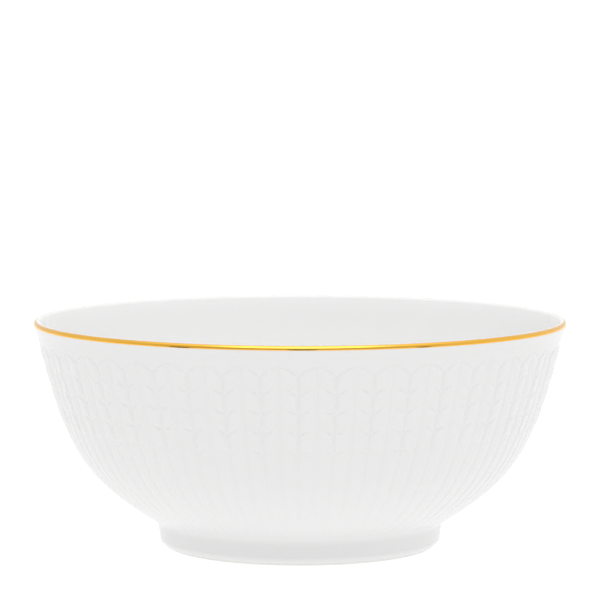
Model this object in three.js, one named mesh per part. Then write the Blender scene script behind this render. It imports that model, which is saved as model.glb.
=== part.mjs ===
import * as THREE from 'three';

// A footed porcelain serving bowl with a gilded lip. Every length is in millimetres.
// The origin is at the middle of the circle that the bowl stands on, and +Z is its axis.
// Every piece is a turned ring or shell, so each outline is drawn as radius and height.

// Overall size.
const LIP_DIAMETER = 230;
const HEIGHT = 98.4;

// The lip is a full round, with its middle at LIP.
const LIP_ROUND = 1.55;
const LIP = place(LIP_DIAMETER / 2 - LIP_ROUND, HEIGHT - LIP_ROUND);
const LIP_LEAN_OUTSIDE = 66;
const LIP_LEAN_INSIDE = 68;

// The wall, outside and inside. A slope is in degrees above level, and a reach is how far
// the curve holds that slope.
const OUTSIDE_FOOT = { at: place(64.7, 12.9), slope: 31.7, reach: 34.7 };
const OUTSIDE_TOP = { at: place(112.85, 90.5), slope: 76.1, reach: 48.7 };
const INSIDE_FLOOR = { at: place(24, 10.2), slope: 0, reach: 67.5 };
const INSIDE_TOP = { at: place(110, 91.2), slope: 76, reach: 31.5 };

// The foot: a plain ring whose lowest edge is ground flat and left unglazed.
const EDGE_TOP = 0.8;
const FOOT_TOP = 4.6;
const RECESS_TOP = 6.2;
const RECESS_CORNER = 1.6;
const STANDING_INNER = 54.9;
const STANDING_OUTER = 57.3;
const EDGE_INNER = 54.3;
const EDGE_OUTER = 58.6;
const FOOT_INNER = 53.4;
const FOOT_OUTER = 60.75;
const FOOT_SLOPE = 84;
const EDGE_SLOPE = 40;
const FOOT_ROUND_TOP = 3.6;
const FOOT_SHOULDER = place(61.25, 8.4);

// The gilding: a thin skin let into the lip, from just outside its top to just under its widest line.
const GOLD_THICKNESS = 0.2;
const GOLD_OUTER_ANGLE = -9;
const GOLD_INNER_ANGLE = 78;

// How finely the outlines and the turned surfaces are divided.
const STEPS_AROUND = 72;
const STEPS_OUTSIDE = 14;
const STEPS_INSIDE = 14;
const STEPS_CORNER = 3;
const STEPS_LIP = 6;
const SAME_POINT = 1e-6;

const GLAZED_WHITE = 0xf4f4f2;
const BISCUIT_WHITE = 0xe9e6df;
const GOLD = 0xe5ab45;

function place(radius, height) {
  return new THREE.Vector2(radius, height);
}

function radians(degrees) {
  return THREE.MathUtils.degToRad(degrees);
}

function heading(slope) {
  return place(Math.cos(radians(slope)), Math.sin(radians(slope)));
}

// A point on the lip's round, by its angle above straight out.
function onLip(angle, depth = 0) {
  return heading(angle).multiplyScalar(LIP_ROUND - depth).add(LIP);
}

// The lip's round between two angles, at a depth below its surface.
function lipRound(from, to, depth, steps) {
  const size = LIP_ROUND - depth;
  const arc = new THREE.EllipseCurve(LIP.x, LIP.y, size, size, radians(from), radians(to), from > to);
  return arc.getPoints(steps);
}

// The long curve of a wall, from its lower end to its upper end.
function wall(lower, upper, steps) {
  const leaving = heading(lower.slope).multiplyScalar(lower.reach).add(lower.at);
  const arriving = heading(upper.slope).multiplyScalar(-upper.reach).add(upper.at);
  return new THREE.CubicBezierCurve(lower.at, leaving, arriving, upper.at).getPoints(steps);
}

// A soft turn that leaves one point and reaches the next, each along its own slope.
function turn(from, fromSlope, to, toSlope) {
  const leaving = heading(fromSlope);
  const arriving = heading(toSlope);
  const reach = to.clone().sub(from).cross(arriving) / leaving.cross(arriving);
  const corner = leaving.multiplyScalar(reach).add(from);
  return new THREE.QuadraticBezierCurve(from, corner, to).getPoints(STEPS_CORNER);
}

// Turns a closed outline about the axis and stands it along +Z.
function turned(name, outline, material) {
  const points = outline.filter((p, i) => i === 0 || p.distanceTo(outline[i - 1]) > SAME_POINT);
  const shape = new THREE.LatheGeometry(points, STEPS_AROUND);
  shape.rotateX(Math.PI / 2);
  const mesh = new THREE.Mesh(shape, material);
  mesh.name = name;
  return mesh;
}

// The wall and floor in one shell, with the root of the foot under it.
function bowlBody() {
  const rim = 180 - (90 - LIP_LEAN_INSIDE);
  const flareEnd = -(90 - LIP_LEAN_OUTSIDE);
  const outline = [
    place(0, RECESS_TOP),
    ...turn(place(FOOT_INNER - RECESS_CORNER, RECESS_TOP), 0, place(FOOT_INNER, FOOT_TOP), -90),
    place(FOOT_OUTER, FOOT_TOP),
    ...turn(FOOT_SHOULDER, FOOT_SLOPE, OUTSIDE_FOOT.at, OUTSIDE_FOOT.slope),
    ...wall(OUTSIDE_FOOT, OUTSIDE_TOP, STEPS_OUTSIDE),
    ...turn(OUTSIDE_TOP.at, OUTSIDE_TOP.slope, onLip(flareEnd), LIP_LEAN_OUTSIDE),
    onLip(GOLD_OUTER_ANGLE),
    ...lipRound(GOLD_OUTER_ANGLE, GOLD_INNER_ANGLE, GOLD_THICKNESS, STEPS_LIP),
    ...lipRound(GOLD_INNER_ANGLE, rim, 0, STEPS_LIP),
    ...turn(INSIDE_TOP.at, INSIDE_TOP.slope, onLip(rim), LIP_LEAN_INSIDE).reverse(),
    ...wall(INSIDE_FLOOR, INSIDE_TOP, STEPS_INSIDE).reverse(),
    place(0, INSIDE_FLOOR.at.y),
  ];
  const glaze = new THREE.MeshStandardMaterial({ color: GLAZED_WHITE, roughness: 0.12, metalness: 0 });
  return turned('bowl_body', outline, glaze);
}

// The ring that carries the bowl, glazed like the wall above it.
function footRing() {
  const outline = [
    place(EDGE_INNER, EDGE_TOP),
    place(EDGE_OUTER, EDGE_TOP),
    ...turn(place(EDGE_OUTER, EDGE_TOP), EDGE_SLOPE, place(FOOT_OUTER - 0.1, FOOT_ROUND_TOP), FOOT_SLOPE),
    place(FOOT_OUTER, FOOT_TOP),
    place(FOOT_INNER, FOOT_TOP),
    place(FOOT_INNER, FOOT_ROUND_TOP),
    place(EDGE_INNER, EDGE_TOP),
  ];
  const glaze = new THREE.MeshStandardMaterial({ color: GLAZED_WHITE, roughness: 0.12, metalness: 0 });
  return turned('foot_ring', outline, glaze);
}

// The bare ground edge under the foot ring.
function footBearingEdge() {
  const outline = [
    place(STANDING_INNER, 0),
    place(STANDING_OUTER, 0),
    place(EDGE_OUTER, EDGE_TOP),
    place(EDGE_INNER, EDGE_TOP),
    place(STANDING_INNER, 0),
  ];
  const biscuit = new THREE.MeshStandardMaterial({ color: BISCUIT_WHITE, roughness: 0.75, metalness: 0 });
  return turned('foot_bearing_edge', outline, biscuit);
}

// The gilding over the lip.
function goldRimBand() {
  const outline = [
    ...lipRound(GOLD_OUTER_ANGLE, GOLD_INNER_ANGLE, 0, STEPS_LIP),
    ...lipRound(GOLD_INNER_ANGLE, GOLD_OUTER_ANGLE, GOLD_THICKNESS, STEPS_LIP),
    onLip(GOLD_OUTER_ANGLE),
  ];
  const gilding = new THREE.MeshStandardMaterial({ color: GOLD, roughness: 0.15, metalness: 1 });
  return turned('gold_rim_band', outline, gilding);
}

const bowl = new THREE.Group();
bowl.add(bowlBody(), footRing(), footBearingEdge(), goldRimBand());

export default bowl;
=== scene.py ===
import math

import bpy
import numpy as np
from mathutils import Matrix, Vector


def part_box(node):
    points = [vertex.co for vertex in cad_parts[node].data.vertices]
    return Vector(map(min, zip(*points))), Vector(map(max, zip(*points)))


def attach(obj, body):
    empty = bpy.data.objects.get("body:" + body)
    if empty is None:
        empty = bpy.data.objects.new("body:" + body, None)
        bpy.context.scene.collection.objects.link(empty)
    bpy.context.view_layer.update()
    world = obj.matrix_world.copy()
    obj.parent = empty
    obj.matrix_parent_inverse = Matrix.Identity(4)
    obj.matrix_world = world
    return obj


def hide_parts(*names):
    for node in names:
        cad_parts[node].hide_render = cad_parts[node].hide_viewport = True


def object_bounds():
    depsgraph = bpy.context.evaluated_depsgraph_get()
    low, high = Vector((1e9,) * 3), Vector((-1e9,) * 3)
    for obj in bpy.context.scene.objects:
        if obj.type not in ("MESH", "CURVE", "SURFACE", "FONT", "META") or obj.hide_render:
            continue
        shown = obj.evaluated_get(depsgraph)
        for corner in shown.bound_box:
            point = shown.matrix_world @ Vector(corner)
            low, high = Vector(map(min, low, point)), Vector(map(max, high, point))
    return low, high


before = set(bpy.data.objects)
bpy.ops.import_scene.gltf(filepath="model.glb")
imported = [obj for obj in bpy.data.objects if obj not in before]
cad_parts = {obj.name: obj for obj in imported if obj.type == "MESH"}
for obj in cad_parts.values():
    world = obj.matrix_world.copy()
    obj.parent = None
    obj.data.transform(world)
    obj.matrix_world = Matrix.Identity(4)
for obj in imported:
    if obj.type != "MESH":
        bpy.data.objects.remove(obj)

# A footed porcelain serving bowl with a moulded relief of stems and leaf pairs, a plain inside and
# a gilded lip. Outlines are drawn as radius and height in millimetres, as in the CAD, and turned
# about Z; meshes are in metres. Angles and slopes are in degrees.

MM = 0.001
SAME_POINT = 1e-6
cad_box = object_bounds()


def node_size(node):
    """Outer radius, lowest and highest point of a CAD node, in millimetres."""
    low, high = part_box(node)
    return high[0] / MM, low[2] / MM, high[2] / MM


# Overall sizes, from the CAD.
LIP_RADIUS = cad_box[1][0] / MM
HEIGHT = cad_box[1][2] / MM
FOOT_RADIUS, EDGE_TOP, FOOT_TOP = node_size("foot_ring")
EDGE_RADIUS, _, _ = node_size("foot_bearing_edge")

# The lip is a full round with its middle at LIP. The wall leaves it at two angles.
LIP_ROUND = 1.55
LIP = np.array([LIP_RADIUS - LIP_ROUND, HEIGHT - LIP_ROUND])
LIP_LEAN_OUTSIDE = 66
LIP_LEAN_INSIDE = 68
LIP_OUTSIDE_END = LIP_LEAN_OUTSIDE - 90
LIP_INSIDE_END = LIP_LEAN_INSIDE + 90

# The wall, outside and inside, as in the CAD.
OUTSIDE_FOOT = {"at": (64.7, 12.9), "slope": 31.7, "reach": 34.7}
OUTSIDE_TOP = {"at": (112.85, 90.5), "slope": 76.1, "reach": 48.7}
INSIDE_FLOOR = {"at": (24, 10.2), "slope": 0, "reach": 67.5}
INSIDE_TOP = {"at": (110, 91.2), "slope": 76, "reach": 31.5}

# The foot, its recess and the bare edge that it stands on.
RECESS_TOP = 6.2
RECESS_CORNER = 1.6
FOOT_INNER = 53.4
FOOT_SLOPE = 84
FOOT_ROUND_TOP = 3.6
FOOT_ROUND_INSET = 0.1
FOOT_INNER_END_SLOPE = -50
FOOT_SHOULDER = (61.25, 8.4)
STANDING_INNER = 54.9
STANDING_OUTER = 57.3
STANDING_INNER_SLOPE = -20
STANDING_OUTER_SLOPE = 12
EDGE_INNER = 54.3
EDGE_INNER_SLOPE = -60
EDGE_SLOPE = 40

# The gilding, by its angles on the lip's round and its depth.
GOLD_THICKNESS = 0.2
GOLD_PROUD = 0.04
GOLD_OUTER_ANGLE = -9
GOLD_INNER_ANGLE = 78

# The relief: stems with leaf pairs in tiers, and a plain line between every two stems. Depths and
# levels are measured down the wall from the lip's widest point, and leaves by angle from their stem.
REPEATS = 45
HALF_REPEAT = 180 / REPEATS
STEM_PHASE = -0.4
FIRST_TIER = 12.0
TIER_PITCH = 8.55
TIERS = 5
LAST_TIER = FIRST_TIER + TIER_PITCH * (TIERS - 1)
RISE_FIRST = 4.2
RISE_LAST = 2.1
REACH_FIRST = 2.8
REACH_LAST = 2.0
REACH_SOFTNESS = 0.5
LINE_WIDTH = 0.84
LINE_DEPTH = 0.33
STROKE_WIDTH = 0.72
STROKE_DEPTH = 0.24
LEAF_HEIGHT = 0.30
LEAF_SKEW = 0.85
LEAF_FULLNESS = 0.7
LEAF_ROOT_END = 0.9
LEAF_EDGE = 1.4
LEAF_TIP = 3.4
FLUTE_HEIGHT = 0.06

# Where the relief begins, and how it dies away above the wall's foot.
RELIEF_START = FIRST_TIER - 0.6
RELIEF_FULL = FIRST_TIER + 0.4
RELIEF_FADE_START = 4
RELIEF_FADE_END = 0.5
LINE_FADE_START = 34
LINE_FADE_END = 4
LINE_FADE = 0.8

# How finely the surfaces are divided. The lip's fine columns end before its top.
HALF_COLUMNS = 10
COARSE_SHARE = 3
TIER_ROWS = 12
FLUTE_ROWS = 14
FLARE_ROWS = 8
CROWDING = 0.7
FINE_LIP_END = 60
COARSE_LIP_START = 70
GOLD_EDGE_GAP = 0.05
SHARP_ANGLE = 60


# Outline curves -------------------------------------------------------------------------------


def heading(slope):
    angle = math.radians(slope)
    return np.array([math.cos(angle), math.sin(angle)])


def on_lip(angle, depth=0):
    """A point on the lip's round, by its angle above straight out, at a depth below its surface."""
    return LIP + heading(angle) * (LIP_ROUND - depth)


def lip_round(start, end, depth, steps):
    """Points on the lip's round between two angles."""
    return [on_lip(angle, depth) for angle in np.linspace(start, end, steps + 1)]


def wall(lower, upper, steps):
    """The long curve of a wall from its lower end to its upper end."""
    a, d = np.array(lower["at"]), np.array(upper["at"])
    b = a + heading(lower["slope"]) * lower["reach"]
    c = d - heading(upper["slope"]) * upper["reach"]
    t = np.linspace(0, 1, steps + 1)[:, None]
    return list((1 - t) ** 3 * a + 3 * (1 - t) ** 2 * t * b + 3 * (1 - t) * t * t * c + t**3 * d)


def turn(start, start_slope, end, end_slope, steps):
    """A soft turn that leaves one point and reaches the next, each along its own slope."""
    a, c = np.array(start, float), np.array(end, float)
    leaving, arriving = heading(start_slope), heading(end_slope)
    gap = c - a
    reach = np.cross(gap, arriving) / np.cross(leaving, arriving)
    b = a + leaving * reach
    t = np.linspace(0, 1, steps + 1)[:, None]
    return list((1 - t) ** 2 * a + 2 * (1 - t) * t * b + t * t * c)


def without_repeats(outline):
    points = [np.array(p, float) for p in outline]
    gaps = [np.hypot(*(p - before)) for before, p in zip(points, points[1:])]
    return [points[0], *(p for p, gap in zip(points[1:], gaps) if gap > SAME_POINT)]


# Meshes from rings of points ------------------------------------------------------------------


def crowded(count, crowding):
    """count steps from 0 up to 1, closer together near both ends."""
    t = np.arange(count) / count
    return t - crowding * np.sin(2 * np.pi * t) / (2 * np.pi)


def fine_angles():
    """The angles of the relief's columns in radians from -Y, closer together at each line."""
    half = crowded(HALF_COLUMNS, CROWDING) * HALF_REPEAT
    starts = np.arange(2 * REPEATS) * HALF_REPEAT
    return np.radians((starts[:, None] + half[None, :]).ravel() + STEM_PHASE)


def even_angles():
    """Evenly spaced angles in radians, a whole number of times fewer than the relief's."""
    count = 2 * REPEATS * HALF_COLUMNS // COARSE_SHARE
    return np.arange(count) * 2 * np.pi / count + math.radians(STEM_PHASE)


def ring(angles, radius, height):
    """Points round the axis at a radius and height, each one number or one for every angle."""
    whole = np.ones_like(angles)
    return np.stack([radius * np.sin(angles), -radius * np.cos(angles), height * whole], axis=1)


def rings(outline, angles):
    """A ring for each point of an outline, or a single point where it meets the axis."""
    return [ring(angles, r, z) if r > SAME_POINT else np.array([[0, 0, z]]) for r, z in outline]


def band(first, count, above, above_count):
    """The faces between two rings, where one may have a whole multiple of the other's points."""
    if 1 in (count, above_count):
        around = max(count, above_count)
        pairs = [(i, (i + 1) % around) for i in range(around)]
        if above_count == 1:
            return [(first + i, first + j, above) for i, j in pairs]
        return [(first, above + j, above + i) for i, j in pairs]
    faces = min(count, above_count)
    share, above_share = count // faces, above_count // faces
    made = []
    for f in range(faces):
        lower = [first + (f * share + k) % count for k in range(share + 1)]
        upper = [above + (f * above_share + k) % above_count for k in range(above_share + 1)]
        made.append((*lower, *reversed(upper)))
    return made


def skin(name, all_rings, closed):
    """A mesh without open edges through rings of points. Either the last ring joins the first, which
    closed asks for, or both ends are points on the axis."""
    starts = np.cumsum([0] + [len(r) for r in all_rings])
    last = len(all_rings)
    faces = []
    for i in range(last if closed else last - 1):
        j = (i + 1) % last
        faces += band(starts[i], len(all_rings[i]), starts[j], len(all_rings[j]))
    mesh = bpy.data.meshes.new(name)
    mesh.from_pydata((np.concatenate(all_rings) * MM).tolist(), [], faces)
    mesh.shade_smooth()
    mesh.set_sharp_from_angle(angle=math.radians(SHARP_ANGLE))
    piece = bpy.data.objects.new(name, mesh)
    bpy.context.scene.collection.objects.link(piece)
    return piece


# The relief -----------------------------------------------------------------------------------


def soft_step(x, start, end):
    """0 before start, 1 after end, and a smooth rise between."""
    t = np.clip((x - start) / (end - start), 0, 1)
    return t * t * (3 - 2 * t)


def outside_line():
    """The outside from the lip's widest point down to the wall's foot, finely divided: depth along
    it, place and normal."""
    top, slope = OUTSIDE_TOP["at"], OUTSIDE_TOP["slope"]
    lip_end = on_lip(LIP_OUTSIDE_END)
    line = np.array(
        without_repeats(
            [
                *lip_round(0, LIP_OUTSIDE_END, depth=0, steps=8),
                *turn(top, slope, lip_end, LIP_LEAN_OUTSIDE, steps=24)[::-1],
                *wall(OUTSIDE_FOOT, OUTSIDE_TOP, steps=400)[::-1],
            ]
        )
    )
    along = np.gradient(line, axis=0)
    along /= np.hypot(*along.T)[:, None]
    depth = np.concatenate([[0], np.cumsum(np.hypot(*np.diff(line, axis=0).T))])
    return depth, line, np.stack([-along[:, 1], along[:, 0]], axis=1)


def rise_at(level):
    """How far a leaf pair's arms would rise from the stem to the plain line, at a level."""
    levels = [FIRST_TIER - TIER_PITCH, FIRST_TIER, LAST_TIER, LAST_TIER + TIER_PITCH]
    return np.interp(level, levels, [0, RISE_FIRST, RISE_LAST, 0])


def relief_height(level, away, radius, depth, foot):
    """The relief's height over the plain wall, by level, by angle away from the stem, and by
    radius, depth and the depth of the wall's foot."""
    to_stem = np.radians(away) * radius
    to_plain = np.radians(HALF_REPEAT - away) * radius
    tier = (level - FIRST_TIER) / TIER_PITCH
    nearest = np.clip(np.round(tier), 0, TIERS - 1)
    to_stroke = (tier - nearest) * TIER_PITCH
    inside = soft_step(level, RELIEF_START, RELIEF_FULL)
    inside = inside * (1 - soft_step(depth, foot - RELIEF_FADE_START, foot - RELIEF_FADE_END))

    lines = np.exp(-((np.minimum(to_stem, to_plain) / LINE_WIDTH) ** 2)) * inside
    lines = lines * (1 - LINE_FADE * soft_step(depth, foot - LINE_FADE_START, foot - LINE_FADE_END))
    reach = np.interp(level, [FIRST_TIER, LAST_TIER], [REACH_FIRST, REACH_LAST])
    past_reach = soft_step(away, reach - REACH_SOFTNESS, reach + REACH_SOFTNESS)
    arms = np.where(nearest == 0, 1, 1 - past_reach)
    strokes = np.exp(-((to_stroke / STROKE_WIDTH) ** 2)) * arms

    within = np.mod(tier, 1)
    leafy = (tier >= 0) & (tier <= TIERS - 1)
    swell = np.sin(np.pi * within**LEAF_SKEW) ** LEAF_FULLNESS
    across = soft_step(away, 0, LEAF_ROOT_END) * (1 - soft_step(away, LEAF_EDGE, LEAF_TIP))
    leaves = np.where(leafy, swell * across, 0)

    across_flute = np.minimum(away, HALF_REPEAT - away) / (HALF_REPEAT / 2)
    flutes = (1 - (1 - across_flute) ** 2) * inside
    cut = np.maximum(lines * LINE_DEPTH, strokes * STROKE_DEPTH)
    return leaves * LEAF_HEIGHT + flutes * FLUTE_HEIGHT - cut


def relief_rings():
    """The rings of the moulded wall from its foot up to its top level, and that level."""
    depth_line, line, normal_line = outside_line()
    foot = depth_line[-1]
    tiers = FIRST_TIER + TIER_PITCH * np.arange(-1, TIERS)
    top = (tiers[:, None] + crowded(TIER_ROWS, CROWDING)[None, :] * TIER_PITCH).ravel()
    levels = np.concatenate([top, np.linspace(LAST_TIER + TIER_PITCH, foot, FLUTE_ROWS)])
    angles = fine_angles()
    away = (np.degrees(angles) - STEM_PHASE) % (2 * HALF_REPEAT)
    away = np.minimum(away, 2 * HALF_REPEAT - away)
    made = []
    for level in levels[::-1]:
        depth = level - rise_at(level) * np.sin(np.pi / 2 * away / HALF_REPEAT)
        place = [np.interp(depth, depth_line, line[:, k]) for k in (0, 1)]
        normal = [np.interp(depth, depth_line, normal_line[:, k]) for k in (0, 1)]
        height = relief_height(np.full_like(away, level), away, place[0], depth, foot)
        made.append(ring(angles, place[0] + normal[0] * height, place[1] + normal[1] * height))
    return made, levels[0]


def flare_points(top_level):
    """The plain outside above the relief, up to just short of the gilding's edge."""
    depth_line, line, _ = outside_line()
    depths = np.linspace(top_level, 0, FLARE_ROWS + 1)[1:]
    points = [[float(np.interp(d, depth_line, line[:, k])) for k in (0, 1)] for d in depths]
    gold_edge = on_lip(GOLD_OUTER_ANGLE)[1]
    return [p for p in points if p[1] < gold_edge - GOLD_EDGE_GAP]


# The pieces -----------------------------------------------------------------------------------


def moulded_bowl():
    """Wall and floor in one shell, with the root of the foot under it."""
    fine, even = fine_angles(), even_angles()
    recess_edge = (FOOT_INNER - RECESS_CORNER, RECESS_TOP)
    under = without_repeats(
        [
            (0, RECESS_TOP),
            *turn(recess_edge, 0, (FOOT_INNER, FOOT_TOP), -90, steps=6),
        ]
    )
    wall_foot, foot_slope = OUTSIDE_FOOT["at"], OUTSIDE_FOOT["slope"]
    root = without_repeats(
        [
            (FOOT_RADIUS, FOOT_TOP),
            *turn(FOOT_SHOULDER, FOOT_SLOPE, wall_foot, foot_slope, steps=8),
        ]
    )[:-1]
    relief, top_level = relief_rings()
    lip = [
        *flare_points(top_level),
        on_lip(GOLD_OUTER_ANGLE),
        *lip_round(GOLD_OUTER_ANGLE, FINE_LIP_END, GOLD_THICKNESS, steps=5),
    ]
    wall_top, top_slope = INSIDE_TOP["at"], INSIDE_TOP["slope"]
    lip_end = on_lip(LIP_INSIDE_END)
    inside = without_repeats(
        [
            *lip_round(COARSE_LIP_START, GOLD_INNER_ANGLE, GOLD_THICKNESS, steps=1),
            *lip_round(GOLD_INNER_ANGLE, LIP_INSIDE_END, depth=0, steps=7),
            *turn(wall_top, top_slope, lip_end, LIP_LEAN_INSIDE, steps=5)[::-1],
            *wall(INSIDE_FLOOR, INSIDE_TOP, steps=30)[::-1],
            (0, INSIDE_FLOOR["at"][1]),
        ]
    )
    all_rings = [*rings(under, even), *rings(root, fine), *relief, *rings(lip, fine), *rings(inside, even)]
    piece = skin("moulded_porcelain_bowl", all_rings, closed=False)
    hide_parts("bowl_body")
    return piece


def glazed_foot():
    """The glazed ring that carries the bowl."""
    edge = (EDGE_RADIUS, EDGE_TOP)
    round_top = (FOOT_RADIUS - FOOT_ROUND_INSET, FOOT_ROUND_TOP)
    inner_top = (FOOT_INNER, FOOT_ROUND_TOP)
    outline = without_repeats(
        [
            edge,
            *turn(edge, EDGE_SLOPE, round_top, FOOT_SLOPE, steps=8),
            (FOOT_RADIUS, FOOT_TOP),
            (FOOT_INNER, FOOT_TOP),
            inner_top,
            *turn(inner_top, -90, (EDGE_INNER, EDGE_TOP), FOOT_INNER_END_SLOPE, steps=6),
        ]
    )
    piece = skin("glazed_foot_ring", rings(outline, even_angles()), closed=True)
    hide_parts("foot_ring")
    return piece


def bare_edge():
    """The unglazed edge under the foot, with a flat face to stand on."""
    standing_outer, standing_inner = (STANDING_OUTER, 0), (STANDING_INNER, 0)
    outer, inner = (EDGE_RADIUS, EDGE_TOP), (EDGE_INNER, EDGE_TOP)
    outline = without_repeats(
        [
            standing_inner,
            standing_outer,
            *turn(standing_outer, STANDING_OUTER_SLOPE, outer, EDGE_SLOPE, steps=4),
            inner,
            *turn(inner, EDGE_INNER_SLOPE, standing_inner, STANDING_INNER_SLOPE, steps=4)[:-1],
        ]
    )
    piece = skin("bare_foot_edge", rings(outline, even_angles()), closed=True)
    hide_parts("foot_bearing_edge")
    return piece


def gilding():
    """The gilding, let into the lip and standing a hair proud of it."""
    outline = without_repeats(
        [
            *lip_round(GOLD_OUTER_ANGLE, GOLD_INNER_ANGLE, -GOLD_PROUD, steps=36),
            *lip_round(GOLD_INNER_ANGLE, GOLD_OUTER_ANGLE, GOLD_THICKNESS, steps=12),
        ]
    )
    piece = skin("gilded_lip_band", rings(outline, even_angles()), closed=True)
    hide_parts("gold_rim_band")
    return piece


# Materials ------------------------------------------------------------------------------------


def new_material(name):
    material = bpy.data.materials.new(name)
    material.use_nodes = True
    return material, material.node_tree, material.node_tree.nodes["Principled BSDF"]


def add(tree, kind, **settings):
    node = tree.nodes.new(kind)
    for key, value in settings.items():
        setattr(node, key, value)
    return node


def noise(tree, scale, detail, stretch=(1, 1, 1)):
    """A noise pattern fixed to the object, in repeats per metre."""
    place = add(tree, "ShaderNodeTexCoord")
    mapping = add(tree, "ShaderNodeMapping")
    mapping.inputs["Scale"].default_value = stretch
    pattern = add(tree, "ShaderNodeTexNoise")
    pattern.inputs["Scale"].default_value = scale
    pattern.inputs["Detail"].default_value = detail
    tree.links.new(place.outputs["Object"], mapping.inputs["Vector"])
    tree.links.new(mapping.outputs["Vector"], pattern.inputs["Vector"])
    return pattern.outputs["Fac"]


def mixed_colour(tree, factor, low, high):
    """factor from 0 to 1 becomes a colour from low to high."""
    mix = add(tree, "ShaderNodeMix", data_type="RGBA")
    low_socket, high_socket, result = 6, 7, 2
    mix.inputs[low_socket].default_value = (*low, 1)
    mix.inputs[high_socket].default_value = (*high, 1)
    tree.links.new(factor, mix.inputs["Factor"])
    return mix.outputs[result]


def mixed_number(tree, factor, low, high):
    """factor from 0 to 1 becomes a number from low to high."""
    mix = add(tree, "ShaderNodeMix", data_type="FLOAT")
    mix.inputs["A"].default_value = low
    mix.inputs["B"].default_value = high
    tree.links.new(factor, mix.inputs["Factor"])
    return mix.outputs["Result"]


def bump(tree, shader, height, strength, distance):
    node = add(tree, "ShaderNodeBump")
    node.inputs["Strength"].default_value = strength
    node.inputs["Distance"].default_value = distance
    tree.links.new(height, node.inputs["Height"])
    tree.links.new(node.outputs["Normal"], shader.inputs["Normal"])


def porcelain():
    """White glaze: nearly even colour, glossy, with the faint long waves of a fired surface."""
    material, tree, shader = new_material("glazed_porcelain")
    patches = noise(tree, scale=26, detail=3)
    colour = mixed_colour(tree, patches, low=(0.854, 0.854, 0.851), high=(0.870, 0.870, 0.867))
    gloss = mixed_number(tree, noise(tree, scale=60, detail=2), low=0.18, high=0.25)
    tree.links.new(colour, shader.inputs["Base Color"])
    tree.links.new(gloss, shader.inputs["Roughness"])
    shader.inputs["IOR"].default_value = 1.45
    shader.inputs["Specular IOR Level"].default_value = 0.25
    bump(tree, shader, noise(tree, scale=110, detail=2), strength=0.05, distance=0.0006)
    return material


def biscuit():
    """Bare fired porcelain: warm white, matt and finely grained."""
    material, tree, shader = new_material("bare_porcelain")
    grains = noise(tree, scale=900, detail=4)
    colour = mixed_colour(tree, grains, low=(0.79, 0.775, 0.745), high=(0.85, 0.84, 0.82))
    gloss = mixed_number(tree, noise(tree, scale=1500, detail=3), low=0.65, high=0.85)
    tree.links.new(colour, shader.inputs["Base Color"])
    tree.links.new(gloss, shader.inputs["Roughness"])
    bump(tree, shader, noise(tree, scale=2500, detail=3), strength=0.35, distance=0.0002)
    return material


def gold():
    """Bright fired gold with slight brush streaks along the lip."""
    material, tree, shader = new_material("fired_gold")
    shader.inputs["Metallic"].default_value = 1
    patches = noise(tree, scale=70, detail=3)
    colour = mixed_colour(tree, patches, low=(0.97, 0.50, 0.06), high=(1.0, 0.58, 0.10))
    gloss = mixed_number(tree, noise(tree, scale=150, detail=3), low=0.08, high=0.15)
    tree.links.new(colour, shader.inputs["Base Color"])
    tree.links.new(gloss, shader.inputs["Roughness"])
    streaks = noise(tree, scale=500, detail=2, stretch=(0.2, 0.2, 3))
    bump(tree, shader, streaks, strength=0.08, distance=0.0002)
    return material


# Stage ----------------------------------------------------------------------------------------

# The camera looks at a point on the axis, from -Y and a little above. Metres, and millimetres of lens.
CAMERA_DISTANCE = 1.5114
CAMERA_ELEVATION = 5.22
CAMERA_AIM = 0.1065
CAMERA_LENS = 209.7
CAMERA_SENSOR = 36
CAMERA_RANGE = 300

# The floor lies a hair under the foot, so that the two don't share a plane.
FLOOR_HALF = 60
FLOOR_GAP = 0.00005
FLOOR_GLOW = 0.865

# The surroundings' brightness by direction, as parts of a unit vector: by its Y from the camera's
# side to beyond the bowl, by its Z towards the top, by its X to the left and right, and by how
# closely it points at the key light.
SKY_NEAR = 0.58
SKY_FAR = 0.84
SKY_NEAR_Y = -1
SKY_FAR_Y = 0.2
SKY_TOP_GAIN = 0.45
SKY_TOP_START = 0.7
SKY_RIGHT_GAIN = 0.03
KEY_GAIN = 2.05
KEY_ELEVATION = 70
KEY_EDGE = 0.86
KEY_CORE = 0.98


def camera():
    data = bpy.data.cameras.new("camera")
    data.sensor_width = CAMERA_SENSOR
    data.lens = CAMERA_LENS
    data.clip_end = CAMERA_RANGE
    made = bpy.data.objects.new("camera", data)
    elevation = math.radians(CAMERA_ELEVATION)
    back = Vector((0, -math.cos(elevation), math.sin(elevation)))
    made.location = Vector((0, 0, CAMERA_AIM)) + back * CAMERA_DISTANCE
    made.rotation_euler = (-back).to_track_quat("-Z", "Y").to_euler()
    bpy.context.scene.collection.objects.link(made)
    bpy.context.scene.camera = made


def sheet(name, corners):
    """One flat four-sided face."""
    mesh = bpy.data.meshes.new(name)
    mesh.from_pydata(corners, [], [(0, 1, 2, 3)])
    made = bpy.data.objects.new(name, mesh)
    bpy.context.scene.collection.objects.link(made)
    return made


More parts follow.
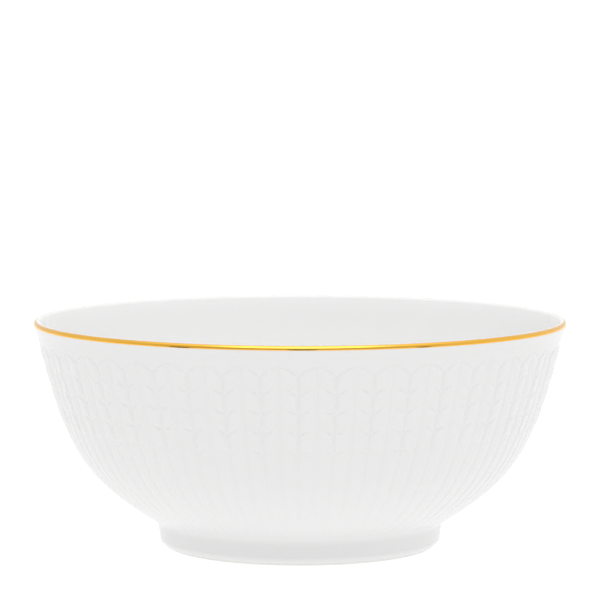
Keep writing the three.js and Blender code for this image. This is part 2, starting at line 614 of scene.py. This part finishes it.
def floor_material():
    """Pale and softly glowing, as a lit white table is, and clear from below."""
    material, tree, shader = new_material("pale_floor")
    patches = noise(tree, scale=3, detail=2)
    colour = mixed_colour(tree, patches, low=(0.12, 0.12, 0.12), high=(0.13, 0.13, 0.13))
    tree.links.new(colour, shader.inputs["Base Color"])
    shader.inputs["Roughness"].default_value = 0.7
    shader.inputs["Emission Color"].default_value = (1, 1, 1, 1)
    shader.inputs["Emission Strength"].default_value = FLOOR_GLOW
    side = add(tree, "ShaderNodeNewGeometry")
    clear = add(tree, "ShaderNodeBsdfTransparent")
    one_way = add(tree, "ShaderNodeMixShader")
    first, second = one_way.inputs[1], one_way.inputs[2]
    tree.links.new(side.outputs["Backfacing"], one_way.inputs["Fac"])
    tree.links.new(shader.outputs["BSDF"], first)
    tree.links.new(clear.outputs["BSDF"], second)
    tree.links.new(one_way.outputs["Shader"], tree.nodes["Material Output"].inputs["Surface"])
    # A face this wide isn't sampled evenly as a lamp, so its glow only counts where a ray meets it.
    material.cycles.emission_sampling = "NONE"
    return material


def floor():
    near, far = -FLOOR_HALF, FLOOR_HALF
    corners = [(near, near), (far, near), (far, far), (near, far)]
    made = sheet("floor", [(x, y, -FLOOR_GAP) for x, y in corners])
    made.data.materials.append(floor_material())


def ramp(tree, value, start, end, low, high):
    """value between start and end becomes low to high, softly."""
    node = add(tree, "ShaderNodeMapRange", interpolation_type="SMOOTHSTEP")
    for socket, number in zip(("From Min", "From Max", "To Min", "To Max"), (start, end, low, high)):
        node.inputs[socket].default_value = number
    tree.links.new(value, node.inputs["Value"])
    return node.outputs["Result"]


def total(tree, first, second):
    node = add(tree, "ShaderNodeMath", operation="ADD")
    tree.links.new(first, node.inputs[0])
    tree.links.new(second, node.inputs[1])
    return node.outputs[0]


def surroundings():
    """White surroundings: dimmer on the camera's side, brightest above, a little brighter right."""
    world = bpy.data.worlds.new("surroundings")
    world.use_nodes = True
    tree = world.node_tree
    place = add(tree, "ShaderNodeTexCoord")
    apart = add(tree, "ShaderNodeSeparateXYZ")
    tree.links.new(place.outputs["Generated"], apart.inputs["Vector"])
    depth = ramp(tree, apart.outputs["Y"], SKY_NEAR_Y, SKY_FAR_Y, SKY_NEAR, SKY_FAR)
    height = ramp(tree, apart.outputs["Z"], SKY_TOP_START, 1, 0, SKY_TOP_GAIN)
    width = ramp(tree, apart.outputs["X"], -1, 1, -SKY_RIGHT_GAIN, SKY_RIGHT_GAIN)
    toward_key = add(tree, "ShaderNodeVectorMath", operation="DOT_PRODUCT")
    key = math.radians(KEY_ELEVATION)
    toward_key.inputs[1].default_value = (0, -math.cos(key), math.sin(key))
    tree.links.new(place.outputs["Generated"], toward_key.inputs[0])
    key_light = ramp(tree, toward_key.outputs["Value"], KEY_EDGE, KEY_CORE, 0, KEY_GAIN)
    strength = total(tree, total(tree, total(tree, depth, height), width), key_light)
    tree.links.new(strength, tree.nodes["Background"].inputs["Strength"])
    tree.nodes["Background"].inputs["Color"].default_value = (1, 1, 1, 1)
    bpy.context.scene.world = world


def flag(name, bearing, distance, width, height):
    """An upright dark card standing on the floor, as photographers use, seen only in reflections.
    Its bearing is from -Y toward +X."""
    half = width / 2
    made = sheet(name, [(-half, 0, 0), (half, 0, 0), (half, 0, height), (-half, 0, height)])
    turned = math.radians(bearing)
    made.location = (distance * math.sin(turned), -distance * math.cos(turned), 0)
    made.rotation_euler = (0, 0, turned)
    material, tree, shader = new_material(name)
    patches = noise(tree, scale=40, detail=3)
    colour = mixed_colour(tree, patches, low=(0.015, 0.014, 0.013), high=(0.03, 0.028, 0.026))
    tree.links.new(colour, shader.inputs["Base Color"])
    shader.inputs["Roughness"].default_value = 0.9
    made.data.materials.append(material)
    made.visible_camera = False
    made.visible_diffuse = False
    made.visible_shadow = False


def dress(piece, material):
    piece.data.materials.append(material)
    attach(piece, "root")


glaze = porcelain()
dress(moulded_bowl(), glaze)
dress(glazed_foot(), glaze)
dress(bare_edge(), biscuit())
dress(gilding(), gold())
floor()
surroundings()
flag("flag_left", bearing=-47, distance=0.605, width=0.085, height=0.20)
flag("flag_right", bearing=48.6, distance=0.605, width=0.05, height=0.19)
flag("flag_middle", bearing=1, distance=0.615, width=0.115, height=0.18)
camera()
bpy.context.scene.view_settings.view_transform = "Standard"
